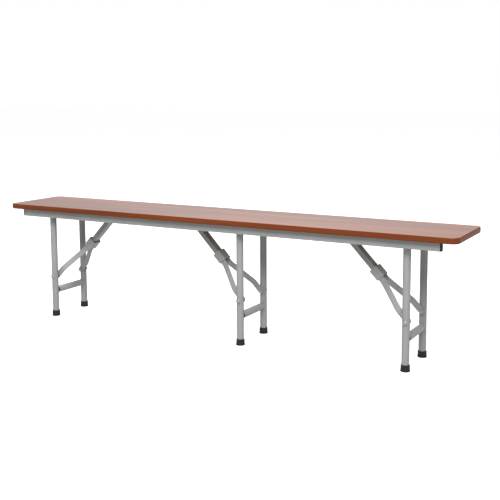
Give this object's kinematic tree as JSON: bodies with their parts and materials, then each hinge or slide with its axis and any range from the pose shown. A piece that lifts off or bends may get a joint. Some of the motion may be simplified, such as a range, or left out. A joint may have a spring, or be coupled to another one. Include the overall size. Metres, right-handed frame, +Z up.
{
  "type": "folding bench",
  "caption": "Long narrow folding bench: wood-look seat board on steel rails, with tube leg sets that fold flat under it and are held open by locking braces.",
  "frame": {"origin": "on the floor, under the middle of the seat", "axes": "+X along the bench to the right as seen from its front, +Y to the rear, +Z up"},
  "size_m": [1.8, 0.285, 0.446],
  "materials": {
    "seat_laminate": "satin wood-grain laminate, pinkish brown",
    "edge_band": "satin, orange brown",
    "board_core": "raw board",
    "backing_sheet": "matt backing",
    "painted_steel": "silver grey powder coat",
    "zinc_steel": "zinc plated",
    "black_plastic": "matt",
    "black_rubber": "matt"
  },
  "bodies": {
    "seat": {"seat_core": "board_core", "seat_laminate": "seat_laminate", "seat_backing": "backing_sheet", "seat_edge_band": "edge_band", "rail_front": "painted_steel", "rail_rear": "painted_steel", "rail_cap_front_left": "black_plastic", "rail_cap_front_right": "black_plastic", "rail_cap_rear_left": "black_plastic", "rail_cap_rear_right": "black_plastic", "left_axle": "zinc_steel", "left_brace_bracket": "painted_steel", "left_hinge_pin": "zinc_steel", "middle_axle": "zinc_steel", "middle_brace_bracket": "painted_steel", "middle_hinge_pin": "zinc_steel", "right_axle": "zinc_steel", "right_brace_bracket": "painted_steel", "right_hinge_pin": "zinc_steel"},
    "left_legs": {"left_leg_front": "painted_steel", "left_leg_rear": "painted_steel", "left_stretcher": "painted_steel", "left_foot_front": "black_rubber", "left_foot_rear": "black_rubber", "left_arm_bolt_front": "zinc_steel", "left_arm_bolt_rear": "zinc_steel"},
    "left_brace_bar": {"left_brace": "painted_steel", "left_joint_rivet": "zinc_steel"},
    "left_arms": {"left_arm_front": "painted_steel", "left_arm_rear": "painted_steel"},
    "left_sleeve": {"left_lock_sleeve": "painted_steel"},
    "middle_legs": {"middle_leg_front": "painted_steel", "middle_leg_rear": "painted_steel", "middle_stretcher": "painted_steel", "middle_foot_front": "black_rubber", "middle_foot_rear": "black_rubber", "middle_arm_bolt_front": "zinc_steel", "middle_arm_bolt_rear": "zinc_steel"},
    "middle_brace_bar": {"middle_brace": "painted_steel", "middle_joint_rivet": "zinc_steel"},
    "middle_arms": {"middle_arm_front": "painted_steel", "middle_arm_rear": "painted_steel"},
    "middle_sleeve": {"middle_lock_sleeve": "painted_steel"},
    "right_legs": {"right_leg_front": "painted_steel", "right_leg_rear": "painted_steel", "right_stretcher": "painted_steel", "right_foot_front": "black_rubber", "right_foot_rear": "black_rubber", "right_arm_bolt_front": "zinc_steel", "right_arm_bolt_rear": "zinc_steel"},
    "right_brace_bar": {"right_brace": "painted_steel", "right_joint_rivet": "zinc_steel"},
    "right_arms": {"right_arm_front": "painted_steel", "right_arm_rear": "painted_steel"},
    "right_sleeve": {"right_lock_sleeve": "painted_steel"}
  },
  "joints": [
    {"name": "left_leg_fold", "type": "hinge", "parent": "seat", "child": "left_legs", "pos_m": [-0.7255, 0, 0.4135], "axis": [0, -1, 0], "range_deg": [0, 89]},
    {"name": "left_brace_swing", "type": "hinge", "parent": "seat", "child": "left_brace_bar", "pos_m": [-0.4855, 0, 0.411], "axis": [0, 1, 0], "range_deg": [0, 44.4]},
    {"name": "left_arm_fold", "type": "hinge", "parent": "left_brace_bar", "child": "left_arms", "pos_m": [-0.60053, 0, 0.29021], "axis": [0, -1, 0], "range_deg": [0, 179.3]},
    {"name": "left_sleeve_slide", "type": "slide", "parent": "left_brace_bar", "child": "left_sleeve", "axis": [0.6897, 0, 0.7241], "range_m": [0, 0.123]},
    {"name": "middle_leg_fold", "type": "hinge", "parent": "seat", "child": "middle_legs", "pos_m": [0.124, 0, 0.4135], "axis": [0, 1, 0], "range_deg": [0, 89]},
    {"name": "middle_brace_swing", "type": "hinge", "parent": "seat", "child": "middle_brace_bar", "pos_m": [-0.116, 0, 0.411], "axis": [0, -1, 0], "range_deg": [0, 44.4]},
    {"name": "middle_arm_fold", "type": "hinge", "parent": "middle_brace_bar", "child": "middle_arms", "pos_m": [-0.00097, 0, 0.29021], "axis": [0, 1, 0], "range_deg": [0, 179.3]},
    {"name": "middle_sleeve_slide", "type": "slide", "parent": "middle_brace_bar", "child": "middle_sleeve", "axis": [-0.6897, 0, 0.7241], "range_m": [0, 0.123]},
    {"name": "right_leg_fold", "type": "hinge", "parent": "seat", "child": "right_legs", "pos_m": [0.7255, 0, 0.4135], "axis": [0, 1, 0], "range_deg": [0, 89]},
    {"name": "right_brace_swing", "type": "hinge", "parent": "seat", "child": "right_brace_bar", "pos_m": [0.4855, 0, 0.411], "axis": [0, -1, 0], "range_deg": [0, 44.4]},
    {"name": "right_arm_fold", "type": "hinge", "parent": "right_brace_bar", "child": "right_arms", "pos_m": [0.60053, 0, 0.29021], "axis": [0, 1, 0], "range_deg": [0, 179.3]},
    {"name": "right_sleeve_slide", "type": "slide", "parent": "right_brace_bar", "child": "right_sleeve", "axis": [-0.6897, 0, 0.7241], "range_m": [0, 0.123]}
  ],
  "couplings": [
    {"joint": "left_brace_swing", "follows": "left_leg_fold", "ratio": 0.49884},
    {"joint": "left_arm_fold", "follows": "left_leg_fold", "ratio": 2.0138},
    {"joint": "left_sleeve_slide", "follows": "left_leg_fold", "m_per_rad": 0.0791},
    {"joint": "middle_brace_swing", "follows": "middle_leg_fold", "ratio": 0.49884},
    {"joint": "middle_arm_fold", "follows": "middle_leg_fold", "ratio": 2.0138},
    {"joint": "middle_sleeve_slide", "follows": "middle_leg_fold", "m_per_rad": 0.0791},
    {"joint": "right_brace_swing", "follows": "right_leg_fold", "ratio": 0.49884},
    {"joint": "right_arm_fold", "follows": "right_leg_fold", "ratio": 2.0138},
    {"joint": "right_sleeve_slide", "follows": "right_leg_fold", "m_per_rad": 0.0791}
  ]
}
